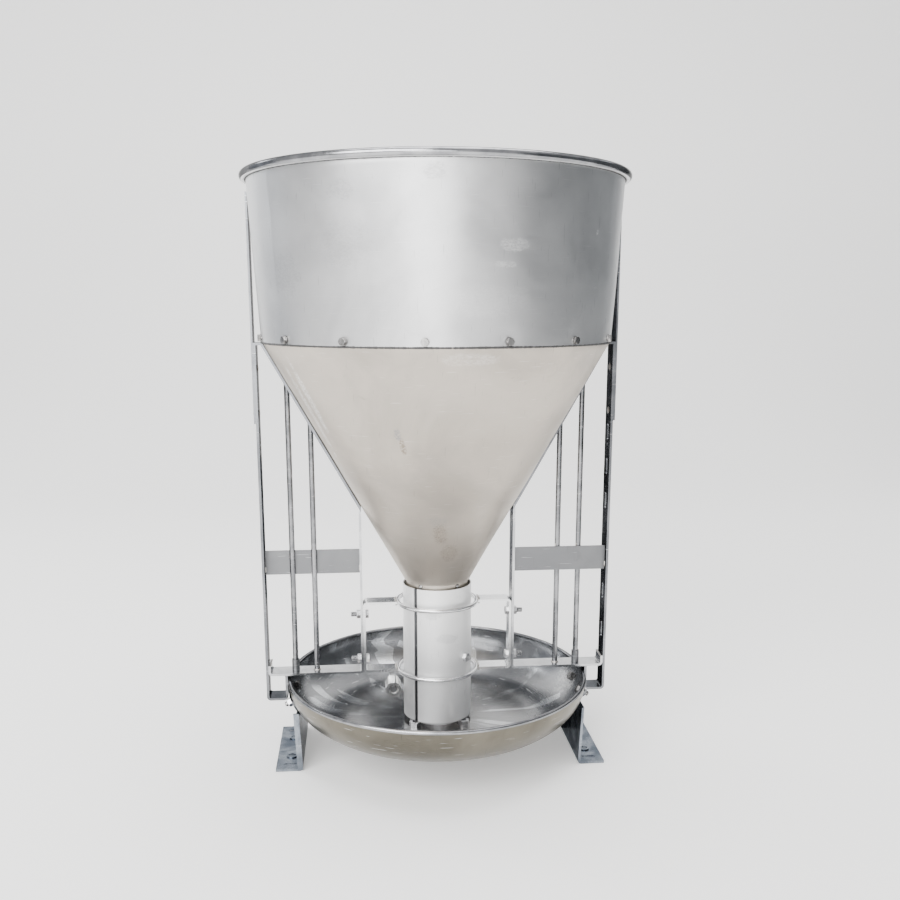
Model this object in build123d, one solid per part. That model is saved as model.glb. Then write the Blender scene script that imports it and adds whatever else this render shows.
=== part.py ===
from build123d import *
import math
import os

# Round stainless hog feeder: a hopper over a drop tube and a round trough, carried between two
# barred side panels on two bent legs.  Millimetres, +Z up, origin on the floor under the axis.
# The left side is -X, the front is -Y.  The left side is the right side turned half a turn.

# ---- hopper ----
SHEET = 1.5
RIM_RADIUS = 296.9
RIM_Z = 950.3
RIM_BEAD = 6.0
RIM_WIRE = 4.4
SEAM_Z = 703.0
SEAM_RADIUS = 278.8
BAND_TOP_RADIUS = 292.7
CONE_SLOPE = 0.5617
CONE_LOW_Z = 301.0
COLLAR_RADIUS = 52.0
COLLAR_LOW_Z = 286.0
COLLAR_TOP_Z = 307.0
CONE_END_Z = 308.5
UPSTAND_RADIUS = 277.2
UPSTAND_TOP_Z = 719.0
NECK_RADIUS = 50.4
NECK_LOW_Z = 262.0
NECK_TOP_Z = 306.0
RIVET_Z = 302.5
RIVET_COUNT = 5
SEAM_BOLT_Z = 710.0
SEAM_BOLT_COUNT = 15
SEAM_BOLT_START = -97.6

# ---- drop tube ----
TUBE_RADIUS = 58.1
TUBE_LOW_Z = 65.5
TUBE_TOP_Z = 299.4
SLIT_WIDTH = 6.5
SLIT_ANGLE = -132.5
SEAM_STRIP_WIDTH = 24.0
STOP_BOLT_Z = 177.0
STOP_BOLT_ANGLES = (-41.5, 138.5)

# ---- trough ----
PAN_SHEET = 2.0
PAN_FLOOR_Z = 55.5
PAN_FLOOR_RADIUS = 150.0
PAN_RADIUS = 255.0
PAN_RIM_Z = 136.5
PAN_BEAD = 3.3
PAN_WIRE = 1.8
SPREADER_RADIUS = 45.0
SPREADER_HEIGHT = 40.0
SPACER_CIRCLE = 59.0

# ---- side panels ----
FLAT_WIDTH = 35.0
FLAT = 4.0
BEND = 5.0
POST_FACE = 287.6
POST_TOP_Z = 701.5
POST_FOOT_Z = 101.5
TURN_UP_X = 257.8
UPRIGHT_FACE = 126.5
CROSSBAR_LOW_Z = 145.0
TAB_TOP_Z = 163.0
SLOT_LENGTH = 28.0
SLOT_WIDTH = 10.0
UPPER_SLOT_Z = (435.5, 494.0, 552.5)
LOWER_SLOT_Z = (207.0, 276.5)
POST_HOLE_Z = 531.0
STRAP_FACE = 291.7
STRAP = 3.0
STRAP_LOW_Z = 573.0
STRAP_TOP_Z = 929.0
STRAP_RIVET_Z = (588.0, 660.0)
HOPPER_RIVET_Z = 915.0
ROD_RADIUS = 4.5
OUTER_ROD_X = 242.3
INNER_ROD_X = 206.2
OUTER_ROD_LOW_Z = 141.0
SLEEVE_RADIUS = 6.5
SLEEVE_HEIGHT = 20.0
PLATE = 3.0
PLATE_LOW_Z = 317.0
PLATE_TOP_Z = 358.0

# ---- height-adjusting brackets ----
ARM_WIDTH = 30.0
ARM_FACE = 122.3
ARM_LOW_Z = 145.0
ARM_HIGH_Z = 265.5
ARM_REACH = 70.95
RING_RADIUS = 67.4
RING_WIRE = 3.5
CLAMP_BOLT_Z = (166.5, 245.5)
LIFT = 15.0

# ---- legs ----
LEG_SHEET = 4.0
LEG_LEAN = 0.046
LEG_FACE = 230.5
FOOT_OUTER = 276.0
LEG_NEAR = -95.3
LEG_FAR = 78.5
LEG_FLANGE = 9.0
FOOT_SLOT_INSET = 19.0
FOOT_SLOT_LENGTH = 24.0
FOOT_SLOT_WIDTH = 7.0
FOOT_HOLE_INSET = 50.0
FOOT_HOLE_RADIUS = 6.0
FOOT_HOLE_X = 252.0
FOOT_BOSS_RADIUS = 9.0
FOOT_BOSS_HEIGHT = 2.0
SADDLE = 3.0
SADDLE_LOW_Z = 84.0
SADDLE_TOP_Z = 116.0
SADDLE_HALF_WIDTH = 60.0
SADDLE_BOLT_Y = 32.0
SADDLE_BOLT_Z = 107.0

# ---- drinker ----
NIPPLE_X = -76.6
NIPPLE_Z = 111.5
NIPPLE_FRONT_Y = -14.0
NIPPLE_REAR_Y = 22.0
NIPPLE_RADIUS = 14.0
SOCKET_RADIUS = 9.3
SOCKET_DEPTH = 14.0

# Metric fasteners: shank radius, across flats, head height, nut height.
M6 = (3.0, 10.0, 4.0, 5.0)
M8 = (4.0, 13.0, 5.3, 6.5)
CLEAR = 0.1
GAP = 0.3

ORIGIN_UP = (Align.CENTER, Align.CENTER, Align.MIN)


# ---- helpers ----
def band_radius(z):
    """Outer radius of the hopper's upper band at height z."""
    return SEAM_RADIUS + (BAND_TOP_RADIUS - SEAM_RADIUS) * (z - SEAM_Z) / (RIM_Z - SEAM_Z)


def cone_radius(z):
    """Outer radius of the hopper cone at height z."""
    return COLLAR_RADIUS + CONE_SLOPE * (z - CONE_LOW_Z)


def cone_height(radius):
    """Height at which the cone's outer face has this radius."""
    return CONE_LOW_Z + (radius - COLLAR_RADIUS) / CONE_SLOPE


def turned(*points):
    """Solid of revolution about Z from a closed outline of (radius, z) points."""
    outline = Polyline(*[(r, 0, z) for r, z in points], close=True)
    return revolve(make_face(outline), axis=Axis.Z)


def pipe(radius, wall, low, high):
    return turned((radius - wall, low), (radius, low), (radius, high), (radius - wall, high))


def ring(radius, wire, z):
    return Pos(0, 0, z) * Torus(radius, wire)


def bowl(offset):
    """Filled trough shape whose face lies offset outside the trough's outer face."""
    rise = PAN_RIM_Z - PAN_FLOOR_Z + offset
    run = PAN_RADIUS - PAN_FLOOR_RADIUS + offset
    floor = PAN_RIM_Z - rise
    corner = (PAN_FLOOR_RADIUS, 0, floor)
    rim = (PAN_FLOOR_RADIUS + run, 0, PAN_RIM_Z)
    wall = EllipticalCenterArc((PAN_FLOOR_RADIUS, PAN_RIM_Z), run, rise, start_angle=270, arc_size=90)
    wall = Plane.XZ * wall
    outline = [Line((0, 0, floor), corner), wall, Line(rim, (0, 0, PAN_RIM_Z))]
    outline.append(Line((0, 0, PAN_RIM_Z), (0, 0, floor)))
    return revolve(make_face(outline), axis=Axis.Z)


def bent_flat(points, width, thickness=FLAT, bend=BEND):
    """Flat bar bent along (x, z) points on its middle line, its width centred on y = 0."""
    path = FilletPolyline(*[(x, 0, z) for x, z in points], radius=bend)
    start = Plane(origin=path.position_at(0), x_dir=(0, 1, 0), z_dir=path.tangent_at(0))
    return sweep(start * Rectangle(width, thickness), path=path)


def block(x0, x1, y0, y1, z0, z1):
    return Pos((x0 + x1) / 2, (y0 + y1) / 2, (z0 + z1) / 2) * Box(x1 - x0, y1 - y0, z1 - z0)


def left(shape):
    """The same piece on the left side: turned half a turn about Z."""
    return Rot(0, 0, 180) * shape


def spun(shape, angle):
    return Rot(0, 0, angle) * shape


def place(shape, position, direction):
    """Piece built along +Z moved to position with its +Z along direction."""
    return Plane(origin=position, x_dir=(0, 1, 0), z_dir=direction).location * shape


def hex_prism(flats, height, bore=0.0):
    """Hexagon with turned-off corners standing on z = 0."""
    corner = flats / math.sqrt(3)
    edge = corner - flats / 2
    prism = extrude(RegularPolygon(flats / 2, 6, major_radius=False), height)
    crown = turned((0, -1), (corner + 1, -1), (corner + 1, height - edge * 0.9),
                   (corner, height - edge * 0.5), (flats / 2, height), (0, height))
    prism = prism & crown
    if bore:
        prism = prism - Cylinder(bore, 3 * height)
    return prism


def bolt(size, length, washer_radius=0.0, washer=0.0):
    """Hex bolt with the bearing face on z = 0, shank down to -length and head upwards."""
    shank_radius, flats, head = size[:3]
    tip = shank_radius * 0.7
    shank = turned((0, -length), (tip, -length), (shank_radius, -length + 1.0),
                   (shank_radius, 0.5), (0, 0.5))
    body = shank + Pos(0, 0, washer) * hex_prism(flats, head)
    if washer:
        body = body + Cylinder(washer_radius, washer, align=ORIGIN_UP)
    return body


def nut(size):
    return hex_prism(size[1], size[3], size[0] + 0.05)


def slot_cutter(x, z, length, width):
    """Round-ended slot along Z, cut through a flat standing at x."""
    middle = Box(60, width, length - width)
    end = Rot(0, 90, 0) * Cylinder(width / 2, 60)
    offset = (length - width) / 2
    return Pos(x, 0, z) * (middle + Pos(0, 0, offset) * end + Pos(0, 0, -offset) * end)


def hole_x(x, y, z, radius, depth=40.0):
    return Pos(x, y, z) * Rot(0, 90, 0) * Cylinder(radius, depth)


def export(name, *shapes):
    """One STEP per node; a node of several separate solids is written as a compound."""
    solids = []
    for shape in shapes:
        solids.extend(shape.solids())
    result = solids[0] if len(solids) == 1 else Compound(children=solids)
    result.label = name
    export_step(result, f"parts/{name}.step")


# ---- hopper: upper band with its rolled rim ----
def hopper_band():
    wall = turned((SEAM_RADIUS - SHEET, SEAM_Z), (SEAM_RADIUS, SEAM_Z),
                  (BAND_TOP_RADIUS, RIM_Z), (BAND_TOP_RADIUS - SHEET, RIM_Z))
    band = wall + ring(RIM_RADIUS, RIM_BEAD, RIM_Z) - ring(RIM_RADIUS, RIM_BEAD - SHEET, RIM_Z)
    for index in range(SEAM_BOLT_COUNT):
        angle = SEAM_BOLT_START + index * 360 / SEAM_BOLT_COUNT
        band = band - spun(hole_x(SEAM_RADIUS, 0, SEAM_BOLT_Z, M6[0] + CLEAR), angle)
    for angle in (0, 180):
        band = band - spun(hole_x(BAND_TOP_RADIUS, 0, HOPPER_RIVET_Z, M6[0] + CLEAR), angle)
    return band


# ---- hopper: cone with an upstand inside the band and a short collar at its mouth ----
def hopper_cone():
    knee = cone_height(UPSTAND_RADIUS)
    drop = SHEET * 0.26
    mouth = cone_radius(CONE_END_Z) - SHEET * 0.6
    cone = turned((COLLAR_RADIUS - SHEET, COLLAR_LOW_Z), (COLLAR_RADIUS, COLLAR_LOW_Z),
                  (COLLAR_RADIUS, COLLAR_TOP_Z), (mouth, COLLAR_TOP_Z),
                  (cone_radius(CONE_END_Z), CONE_END_Z), (UPSTAND_RADIUS, knee),
                  (UPSTAND_RADIUS, UPSTAND_TOP_Z), (UPSTAND_RADIUS - SHEET, UPSTAND_TOP_Z),
                  (UPSTAND_RADIUS - SHEET, knee + drop),
                  (mouth, cone_height(mouth + SHEET) + drop), (COLLAR_RADIUS - SHEET, COLLAR_TOP_Z + SHEET))
    for index in range(SEAM_BOLT_COUNT):
        angle = SEAM_BOLT_START + index * 360 / SEAM_BOLT_COUNT
        cone = cone - spun(hole_x(UPSTAND_RADIUS, 0, SEAM_BOLT_Z, M6[0] + CLEAR), angle)
    for index in range(RIVET_COUNT):
        cone = cone - spun(hole_x(COLLAR_RADIUS, 0, RIVET_Z, 2.1, 12), -90 + 36 + index * 72)
    return cone


def hopper_neck():
    neck = pipe(NECK_RADIUS, SHEET, NECK_LOW_Z, NECK_TOP_Z)
    for index in range(RIVET_COUNT):
        neck = neck - spun(hole_x(COLLAR_RADIUS, 0, RIVET_Z, 2.1, 12), -90 + 36 + index * 72)
    return neck


def neck_rivet(angle):
    """Domed rivet through the collar and the neck."""
    stem_start = NECK_RADIUS - SHEET - 1.2
    head = place(turned((0, 0), (4.0, 0), (3.6, 1.0), (2.4, 1.8), (0, 2.1)),
                 (COLLAR_RADIUS + 0.15, 0, RIVET_Z), (1, 0, 0))
    stem = place(Cylinder(2.0, 5.4, align=ORIGIN_UP), (stem_start, 0, RIVET_Z), (1, 0, 0))
    tail = place(Cylinder(3.0, 1.0, align=ORIGIN_UP), (stem_start - 0.2, 0, RIVET_Z), (1, 0, 0))
    return spun(head + stem + tail, angle)


def seam_bolt(angle):
    seat = band_radius(SEAM_BOLT_Z + 6) + 0.1
    return spun(place(bolt(M6, 12.5, 6.0, 1.2), (seat, 0, SEAM_BOLT_Z), (1, 0, 0)), angle)


def seam_nut(angle):
    seat = UPSTAND_RADIUS - SHEET - CLEAR
    return spun(place(nut(M6), (seat, 0, SEAM_BOLT_Z), (-1, 0, 0)), angle)


# ---- drop tube: rolled sheet with an open slit, backed by a strip welded inside ----
def stop_bolt_hole(angle):
    return spun(hole_x(TUBE_RADIUS, 0, STOP_BOLT_Z, M8[0] + CLEAR, 20), angle)


def drop_tube():
    tube = pipe(TUBE_RADIUS, SHEET, TUBE_LOW_Z, TUBE_TOP_Z)
    slit = block(TUBE_RADIUS - 10, TUBE_RADIUS + 10, -SLIT_WIDTH / 2, SLIT_WIDTH / 2, 0, 400)
    tube = tube - spun(slit, SLIT_ANGLE)
    for angle in STOP_BOLT_ANGLES:
        tube = tube - stop_bolt_hole(angle)
    return tube


def tube_seam_strip():
    strip = pipe(TUBE_RADIUS - SHEET - 0.05, SHEET, TUBE_LOW_Z + 0.5, TUBE_TOP_Z - 0.5)
    half = SEAM_STRIP_WIDTH / 2
    return strip & spun(block(20, 80, -half, half, 0, 400), SLIT_ANGLE)


def stop_bolt(angle):
    """Bolt from inside the tube outwards; its nut outside rides above the lower ring."""
    seat = TUBE_RADIUS - SHEET - 0.6
    shape = place(bolt(M8, 14.0), (seat, 0, STOP_BOLT_Z), (-1, 0, 0))
    return spun(shape, angle)


def stop_nut(angle):
    shape = place(nut(M8), (TUBE_RADIUS + CLEAR, 0, STOP_BOLT_Z), (1, 0, 0))
    return spun(shape, angle)


# ---- trough ----
def trough_pan():
    pan = bowl(0.0) - bowl(-PAN_SHEET)
    bead_radius = PAN_RADIUS - 2.5
    lip = ring(bead_radius, PAN_BEAD, PAN_RIM_Z)
    hollow = ring(bead_radius, PAN_BEAD - 1.4, PAN_RIM_Z)
    pan = pan + lip - hollow
    for angle in (0, 180):
        for y in (-SADDLE_BOLT_Y, SADDLE_BOLT_Y):
            hole = spun(saddle_place(Cylinder(M8[0] + CLEAR, 40), 0.0), math.degrees(math.asin(y / 250)))
            pan = pan - spun(hole, angle)
    return pan


def wall_normal(offset):
    """Point and outward normal of the bowl, moved out by offset, at the saddle bolt's height."""
    rise = PAN_RIM_Z - PAN_FLOOR_Z
    run = PAN_RADIUS - PAN_FLOOR_RADIUS
    sine = (PAN_RIM_Z - SADDLE_BOLT_Z) / rise
    cosine = math.sqrt(1 - sine * sine)
    normal = Vector(cosine / run, 0, -sine / rise).normalized()
    point = Vector(PAN_FLOOR_RADIUS + run * cosine, 0, SADDLE_BOLT_Z) + normal * offset
    return point, normal


def saddle_place(shape, offset, inwards=False):
    """Piece built along +Z set square on the bowl's wall, offset outside its outer face."""
    point, normal = wall_normal(offset)
    return place(shape, point, normal * (-1 if inwards else 1))


def saddle_bolt(angle):
    """Bolt through the trough wall and saddle, its head inside the trough."""
    return spun(saddle_place(bolt(M8, 18.0), -PAN_SHEET - 0.35, inwards=True), angle)


def saddle_nut(angle):
    return spun(saddle_place(nut(M8), GAP + SADDLE + 0.45), angle)


def trough_saddle():
    """Curved plate under the trough wall that joins trough, post and leg."""
    shell = bowl(GAP + SADDLE) - bowl(GAP)
    saddle = shell & block(200, 300, -SADDLE_HALF_WIDTH, SADDLE_HALF_WIDTH, SADDLE_LOW_Z, SADDLE_TOP_Z)
    for y in (-SADDLE_BOLT_Y, SADDLE_BOLT_Y):
        turn = math.degrees(math.asin(y / 250))
        saddle = saddle - spun(saddle_place(Cylinder(M8[0] + CLEAR, 40), 0.0), turn)
    return saddle


def spreader_cone():
    low = PAN_FLOOR_Z + PAN_SHEET + 0.05
    return turned((0, low), (SPREADER_RADIUS, low), (SPREADER_RADIUS - 1.5, low + 1.5),
                  (3.0, low + SPREADER_HEIGHT - 1.2), (0, low + SPREADER_HEIGHT))


def spacer_nut(angle):
    low = PAN_FLOOR_Z + PAN_SHEET + 0.05
    return spun(Pos(SPACER_CIRCLE, 0, low) * hex_prism(17.0, 7.6, 5.0), angle)


# ---- side panels ----
def incline_cutter():
    """Everything above the sloping underside of the incline bar."""
    slope = CONE_SLOPE
    start = UPRIGHT_FACE - slope * 100
    finish = UPRIGHT_FACE + slope * 330
    outline = [(start, 0, 324.9), (finish, 0, 754.9), (finish, 0, 1100), (start, 0, 1100)]
    return extrude(make_face(Polyline(*outline, close=True)), 60, both=True)


def post():
    """Slotted upright whose foot is bent in and up beside the trough, as far as the crossbar."""
    middle = POST_FACE + FLAT / 2
    foot = POST_FOOT_Z + FLAT / 2
    bar = bent_flat([(TURN_UP_X, CROSSBAR_LOW_Z - CLEAR), (TURN_UP_X, foot), (middle, foot),
                     (middle, POST_TOP_Z)], FLAT_WIDTH)
    for z in LOWER_SLOT_Z + UPPER_SLOT_Z:
        bar = bar - slot_cutter(middle, z, SLOT_LENGTH, SLOT_WIDTH)
    for z in (POST_HOLE_Z,) + STRAP_RIVET_Z:
        bar = bar - hole_x(middle, 0, z, M8[0] + CLEAR)
    return bar


def hopper_strap():
    bar = block(STRAP_FACE, STRAP_FACE + STRAP, -FLAT_WIDTH / 2, FLAT_WIDTH / 2,
                STRAP_LOW_Z, STRAP_TOP_Z)
    for z in STRAP_RIVET_Z:
        bar = bar - hole_x(STRAP_FACE, 0, z, M8[0] + CLEAR)
    return bar - hole_x(STRAP_FACE, 0, HOPPER_RIVET_Z, M6[0] + CLEAR)


def strap_rivet(z, inner_x, outer_x, radius):
    """Low domed rivet along X with a head against each of two faces."""
    dome = turned((0, 0), (radius * 1.6, 0), (radius * 1.4, 0.9), (radius * 0.9, 1.6), (0, 1.9))
    stem = place(Cylinder(radius, outer_x - inner_x, align=ORIGIN_UP), (inner_x, 0, z), (1, 0, 0))
    return place(dome, (outer_x, 0, z), (1, 0, 0)) + place(dome, (inner_x, 0, z), (-1, 0, 0)) + stem


def panel_frame():
    """Inner upright and crossbar bent from one flat, its outer end turned up the post."""
    upright = UPRIGHT_FACE + FLAT / 2
    tab = POST_FACE - FLAT / 2 - CLEAR
    level = CROSSBAR_LOW_Z + FLAT / 2
    bar = bent_flat([(upright, 440), (upright, level), (tab, level), (tab, TAB_TOP_Z)], FLAT_WIDTH)
    bar = bar - incline_cutter()
    for z in CLAMP_BOLT_Z:
        length = LIFT + 2 * (M8[0] + 0.2)
        bar = bar - slot_cutter(upright, z + LIFT / 2, length, 2 * (M8[0] + 0.2))
    return bar - Pos(OUTER_ROD_X, 0, level) * Cylinder(ROD_RADIUS + CLEAR, 20)


def incline_bar():
    """Flat that follows the cone just below it, from inner upright to post."""
    outline = [(126.5, 424.95), (126.5, 433.1), (277.6, 701.6), (287.5, 701.6), (287.5, 697.6),
               (279.6, 697.6)]
    face = make_face(Polyline(*[(x, 0, z) for x, z in outline], close=True))
    return extrude(face, FLAT_WIDTH / 2, both=True)


def rod(x, low):
    bar = Pos(x, 0, low) * Cylinder(ROD_RADIUS, 700, align=ORIGIN_UP)
    return bar - Pos(0, 0, -0.1) * incline_cutter()


def rod_sleeve():
    low = CROSSBAR_LOW_Z + FLAT + 0.05
    sleeve = Pos(OUTER_ROD_X, 0, low) * Cylinder(SLEEVE_RADIUS, SLEEVE_HEIGHT, align=ORIGIN_UP)
    return sleeve - Pos(OUTER_ROD_X, 0, low) * Cylinder(ROD_RADIUS + 0.05, 100)


def band_plate():
    front = -ROD_RADIUS - CLEAR - PLATE
    return block(UPRIGHT_FACE + FLAT + CLEAR, POST_FACE - CLEAR, front, front + PLATE,
                 PLATE_LOW_Z, PLATE_TOP_Z)


def through_bolt(x, y, z, size, length, outwards):
    """Bolt along X with its bearing face at x; outwards puts the head on the outer side."""
    return place(bolt(size, length), (x, y, z), (1 if outwards else -1, 0, 0))


def x_nut(x, y, z, size, outwards):
    return place(nut(size), (x, y, z), (1 if outwards else -1, 0, 0))


# ---- height-adjusting brackets ----
def c_bracket():
    middle = ARM_FACE + FLAT / 2
    low = ARM_LOW_Z + FLAT / 2
    high = ARM_HIGH_Z + FLAT / 2
    bar = bent_flat([(62, low), (middle, low), (middle, high), (62, high)], ARM_WIDTH)
    bar = bar - Cylinder(ARM_REACH, 2000)
    for z in CLAMP_BOLT_Z:
        bar = bar - hole_x(middle, 0, z, M8[0] + CLEAR)
    return bar


# ---- legs ----
def leaning(thickness, y0, y1, low):
    """Upright plate in the leg's plane, leaning outwards as it rises."""
    top = 130.0
    outline = [(LEG_FACE + LEG_LEAN * low, low), (LEG_FACE + LEG_LEAN * low + thickness, low),
               (LEG_FACE + LEG_LEAN * top + thickness, top), (LEG_FACE + LEG_LEAN * top, top)]
    face = make_face(Polyline(*[(x, y1, z) for x, z in outline], close=True))
    return extrude(face, y1 - y0, dir=(0, -1, 0))


def leg():
    """Bent leg: a foot plate turned outwards, a tall web and a flange down the far edge."""
    web = leaning(LEG_SHEET, LEG_NEAR, LEG_FAR, 0)
    foot = block(LEG_FACE, FOOT_OUTER, LEG_NEAR, LEG_FAR, 0, LEG_SHEET)
    foot_bend = Rot(90, 0, 0) * Cylinder(6, 400)
    heel = block(LEG_FACE, LEG_FACE + 6, LEG_NEAR, LEG_FAR, 0, 6)
    heel = heel - Pos(LEG_FACE + 6, 0, 6) * foot_bend
    flange = leaning(LEG_FLANGE, LEG_FAR - 3, LEG_FAR, LEG_SHEET / 2)
    shape = web + foot - heel + flange
    shape = shape - bowl(GAP + SADDLE + 0.1) - block(200, 300, -200, 200, 101, 200)
    for y, side in ((LEG_NEAR, 1), (LEG_FAR, -1)):
        boss = Pos(FOOT_HOLE_X, y + side * FOOT_HOLE_INSET, 0) * Cylinder(
            FOOT_BOSS_RADIUS, LEG_SHEET + FOOT_BOSS_HEIGHT, align=ORIGIN_UP)
        shape = shape + boss
    for y, side in ((LEG_NEAR, 1), (LEG_FAR, -1)):
        hole = Pos(FOOT_HOLE_X, y + side * FOOT_HOLE_INSET, 0) * Cylinder(FOOT_HOLE_RADIUS, 30)
        slot = Pos(FOOT_HOLE_X, y + side * FOOT_SLOT_INSET, 0) * foot_slot()
        shape = shape - hole - slot
    return shape


def foot_slot():
    offset = (FOOT_SLOT_LENGTH - FOOT_SLOT_WIDTH) / 2
    end = Cylinder(FOOT_SLOT_WIDTH / 2, 30)
    return Box(2 * offset, FOOT_SLOT_WIDTH, 30) + Pos(offset, 0, 0) * end + Pos(-offset, 0, 0) * end


# ---- drinker nipple ----
def y_place(shape, y):
    """Piece built along +Z set on the nipple's axis, starting at y and running back."""
    return Plane(origin=(NIPPLE_X, y, NIPPLE_Z), x_dir=(1, 0, 0), z_dir=(0, 1, 0)).location * shape


def y_rod(radius, y0, y1):
    return y_place(Cylinder(radius, y1 - y0, align=ORIGIN_UP), y0)


def nipple_body():
    length = NIPPLE_REAR_Y - NIPPLE_FRONT_Y
    flats = extrude(RegularPolygon(13.2, 6, major_radius=False), length)
    body = y_place(flats & Cylinder(NIPPLE_RADIUS, length, align=ORIGIN_UP), NIPPLE_FRONT_Y)
    body = body - y_rod(8.5, NIPPLE_FRONT_Y - 1, -6)
    body = body - y_rod(3.55, -7, 0)
    body = body - y_rod(8.0, -2, NIPPLE_REAR_Y)
    return body - y_rod(SOCKET_RADIUS, NIPPLE_REAR_Y - SOCKET_DEPTH, NIPPLE_REAR_Y + 1)


def nipple_pin():
    return y_rod(5.5, -12.5, -9) + y_rod(3.48, -9.5, 0) + y_rod(6.0, -0.45, 2.5)


def nipple_seal():
    return y_rod(7.9, -1.95, -0.5) - y_rod(3.6, -5, 5)


def nipple_strainer():
    """Perforated disc in the passage just in front of the socket, which stays clear for the pipe."""
    disc = y_rod(7.9, 6.0, 7.9)
    for index in range(6):
        hole = Pos(4.6, 0, 0) * Cylinder(1.5, 20)
        disc = disc - y_place(Rot(0, 0, index * 60) * hole, 7)
    return disc - y_rod(1.5, 0, 20)


def nipple_stay():
    """Short upright strip from the left lower arm down to the nipple body."""
    return block(-84, -74, 4, 7, NIPPLE_Z + 13.25, ARM_LOW_Z - 0.05)


def main():
    os.makedirs("parts", exist_ok=True)
    seam_angles = [SEAM_BOLT_START + i * 360 / SEAM_BOLT_COUNT for i in range(SEAM_BOLT_COUNT)]
    saddle_turn = math.degrees(math.asin(SADDLE_BOLT_Y / 250))
    saddle_angles = (-saddle_turn, saddle_turn, 180 - saddle_turn, 180 + saddle_turn)

    export("hopper_band", hopper_band())
    export("hopper_rim_wire", ring(RIM_RADIUS, RIM_WIRE, RIM_Z))
    export("hopper_cone", hopper_cone())
    export("hopper_neck", hopper_neck())
    export("neck_rivets", *[neck_rivet(-90 + 36 + i * 72) for i in range(RIVET_COUNT)])
    export("seam_bolts", *[seam_bolt(angle) for angle in seam_angles])
    export("seam_nuts", *[seam_nut(angle) for angle in seam_angles])

    export("drop_tube", drop_tube())
    export("tube_seam_strip", tube_seam_strip())
    export("tube_stop_bolts", *[stop_bolt(angle) for angle in STOP_BOLT_ANGLES])
    export("tube_stop_nuts", *[stop_nut(angle) for angle in STOP_BOLT_ANGLES])

    export("trough_pan", trough_pan())
    export("trough_rim_wire", ring(PAN_RADIUS - 2.5, PAN_WIRE, PAN_RIM_Z))
    export("spreader_cone", spreader_cone())
    export("spacer_nuts", *[spacer_nut(45 + 90 * i) for i in range(4)])
    export("saddle_bolts", *[saddle_bolt(angle) for angle in saddle_angles])
    export("saddle_nuts", *[saddle_nut(angle) for angle in saddle_angles])

    sided = {"post": post(), "hopper_strap": hopper_strap(), "panel_frame": panel_frame(),
             "incline_bar": incline_bar(), "c_bracket": c_bracket(), "leg": leg(),
             "trough_saddle": trough_saddle()}
    for name, shape in sided.items():
        export(name + "_right", shape)
        export(name + "_left", left(shape))
    plate = band_plate()
    export("band_plate_right", plate)
    export("band_plate_left", left(plate))

    outer = rod(OUTER_ROD_X, OUTER_ROD_LOW_Z)
    inner = rod(INNER_ROD_X, CROSSBAR_LOW_Z + FLAT + 0.05)
    export("outer_rods", outer, left(outer))
    export("inner_rods", inner, left(inner))
    export("rod_sleeves", rod_sleeve(), left(rod_sleeve()))

    outer_face = STRAP_FACE + STRAP + CLEAR
    rivets = [strap_rivet(z, POST_FACE - CLEAR, outer_face, M8[0]) for z in STRAP_RIVET_Z]
    wall_face = band_radius(HOPPER_RIVET_Z) - SHEET - 0.3
    rivets.append(strap_rivet(HOPPER_RIVET_Z, wall_face, outer_face, M6[0]))
    export("strap_rivets", *rivets, *[left(shape) for shape in rivets])

    export("upper_ring", ring(RING_RADIUS, RING_WIRE, ARM_HIGH_Z + 1.5))
    export("lower_ring", ring(RING_RADIUS, RING_WIRE, ARM_LOW_Z + 2.0))
    clamp_bolts = [through_bolt(ARM_FACE - CLEAR, 0, z, M8, 25.0, False) for z in CLAMP_BOLT_Z]
    clamp_nuts = [x_nut(UPRIGHT_FACE + FLAT + 0.2, 0, z, M8, True) for z in CLAMP_BOLT_Z]
    export("bracket_bolts", *clamp_bolts, *[left(shape) for shape in clamp_bolts])
    export("bracket_nuts", *clamp_nuts, *[left(shape) for shape in clamp_nuts])

    export("nipple_body", nipple_body())
    export("nipple_pin", nipple_pin())
    export("nipple_seal", nipple_seal())
    export("nipple_strainer", nipple_strainer())
    export("nipple_stay", nipple_stay())


main()
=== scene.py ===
import bpy
import math
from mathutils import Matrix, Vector, noise


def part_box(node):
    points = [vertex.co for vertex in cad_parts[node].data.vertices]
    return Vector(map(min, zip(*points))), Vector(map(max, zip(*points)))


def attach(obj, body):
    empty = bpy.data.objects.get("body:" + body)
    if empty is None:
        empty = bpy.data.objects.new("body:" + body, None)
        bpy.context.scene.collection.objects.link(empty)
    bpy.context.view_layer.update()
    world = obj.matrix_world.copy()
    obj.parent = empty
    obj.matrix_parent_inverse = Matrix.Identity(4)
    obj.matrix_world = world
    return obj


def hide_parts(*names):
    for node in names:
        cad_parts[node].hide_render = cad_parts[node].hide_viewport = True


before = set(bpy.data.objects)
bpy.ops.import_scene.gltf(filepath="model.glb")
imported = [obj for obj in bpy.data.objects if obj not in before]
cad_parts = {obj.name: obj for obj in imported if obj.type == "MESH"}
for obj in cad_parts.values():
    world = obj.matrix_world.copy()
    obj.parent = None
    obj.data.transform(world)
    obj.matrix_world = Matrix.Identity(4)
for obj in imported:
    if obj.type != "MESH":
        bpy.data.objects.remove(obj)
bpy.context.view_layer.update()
TAU = 2 * math.pi


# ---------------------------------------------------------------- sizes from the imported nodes
def span(name):
    """(outer radius, lowest z, highest z) of a node that is round about the Z axis."""
    low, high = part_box(name)
    return max(high[0], high[1]), low[2], high[2]


def middle_z(name):
    low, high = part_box(name)
    return (low[2] + high[2]) / 2


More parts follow.
